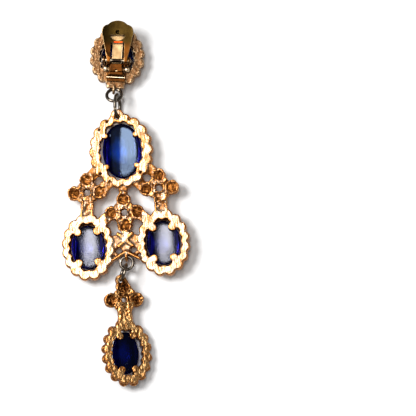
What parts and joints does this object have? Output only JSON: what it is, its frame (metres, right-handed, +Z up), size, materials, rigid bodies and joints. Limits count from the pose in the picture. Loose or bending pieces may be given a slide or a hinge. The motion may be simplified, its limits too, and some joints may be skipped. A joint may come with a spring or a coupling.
{
  "type": "chandelier ear clip",
  "caption": "Gilt cast chandelier ear clip with oval dark blue glass stones in beaded settings, quatrefoil links, a hanging drop and a hinged clip lever, lying face down.",
  "frame": {"origin": "middle of the base of the box round the earring as it lies face down", "axes": "+Y along the earring towards its clip, +X to the right as seen from above, +Z up, out of its cast back"},
  "size_m": [0.035, 0.0994, 0.008],
  "materials": {
    "gilt": "satin",
    "dark_gilt": "satin",
    "bronze": "satin",
    "spring_brass": "satin",
    "gunmetal": "satin",
    "blue_glass": "gloss"
  },
  "bodies": {
    "earring": {"clip_pin": "gunmetal", "clip_tongue": "spring_brass", "clip_setting": "dark_gilt", "clip_stone": "blue_glass", "top_ring": "gunmetal", "top_link": "gunmetal", "pendant_frame": "gilt", "pendant_stone_upper": "blue_glass", "pendant_stone_left": "blue_glass", "pendant_stone_right": "blue_glass", "drop_ring": "gunmetal", "drop_link": "gunmetal", "drop_frame": "dark_gilt", "drop_stone": "blue_glass"},
    "lever": {"clip_lever": "bronze"}
  },
  "joints": [
    {"name": "clip_hinge", "type": "hinge", "parent": "earring", "child": "lever", "pos_m": [-0.00212, 0.03867, 0.00657], "axis": [0.9945, -0.0573, -0.0872], "range_deg": [0, 95]}
  ]
}
